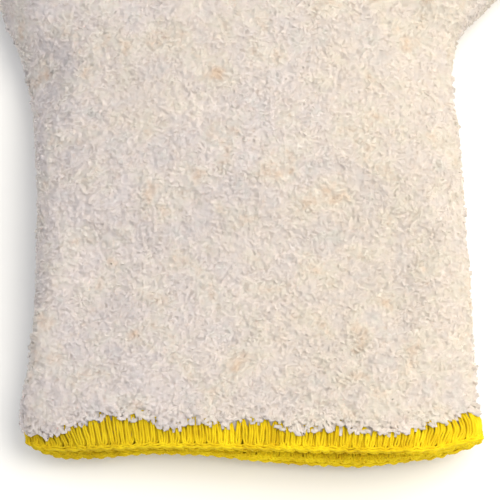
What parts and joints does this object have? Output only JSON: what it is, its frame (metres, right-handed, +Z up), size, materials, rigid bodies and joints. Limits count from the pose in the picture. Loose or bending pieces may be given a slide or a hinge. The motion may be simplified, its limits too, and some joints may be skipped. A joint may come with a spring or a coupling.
{
  "type": "terry wash mitt",
  "caption": "Looped-pile cotton wash mitt with a thumb, an overlocked coloured cuff hem and an open hand pocket; it lies flat and folds at wrist, knuckles and thumb.",
  "frame": {"origin": "middle of the bounding box's underside, where the back of the mitt lies on a table", "axes": "+Y from the cuff mouth to the fingertips, +X towards the thumb, +Z up out of the palm panel"},
  "size_m": [0.1796, 0.271, 0.024],
  "materials": {
    "terry": "soft curly cream cotton loops, matte, mottled beige and grey",
    "hem_thread": "fluffy yellow overlock yarn, matte",
    "seam_thread": "off-white sewing thread, matte",
    "elastic": "covered elastic yarn, matte"
  },
  "bodies": {
    "hand": {"hand_back_panel": "terry", "hand_palm_panel": "terry", "hand_seam_thread_1": "seam_thread", "hand_seam_thread_2": "seam_thread", "hand_seam_thread_3": "seam_thread"},
    "cuff": {"cuff_back_panel": "terry", "cuff_palm_panel": "terry", "hem_upper_looper_thread": "hem_thread", "hem_lower_looper_thread": "hem_thread", "hem_needle_thread": "hem_thread", "wrist_elastic_yarn_1": "elastic", "wrist_elastic_yarn_2": "elastic", "wrist_elastic_yarn_3": "elastic", "cuff_seam_thread_1": "seam_thread", "cuff_seam_thread_2": "seam_thread"},
    "fingers": {"finger_back_panel": "terry", "finger_palm_panel": "terry", "finger_seam_thread": "seam_thread"},
    "thumb": {"thumb_back_panel": "terry", "thumb_palm_panel": "terry", "thumb_seam_thread": "seam_thread"}
  },
  "joints": [
    {"name": "wrist_bend", "type": "hinge", "parent": "hand", "child": "cuff", "pos_m": [-0.01529, -0.0385, 0.0195], "axis": [-1, 0, 0], "range_deg": [0, 70]},
    {"name": "finger_fold", "type": "hinge", "parent": "hand", "child": "fingers", "pos_m": [-0.01529, 0.0585, 0.0242], "axis": [1, 0, 0], "range_deg": [0, 90]},
    {"name": "thumb_fold", "type": "hinge", "parent": "hand", "child": "thumb", "pos_m": [0.04471, 0, 0.0225], "axis": [0, -1, 0], "range_deg": [0, 80]}
  ]
}
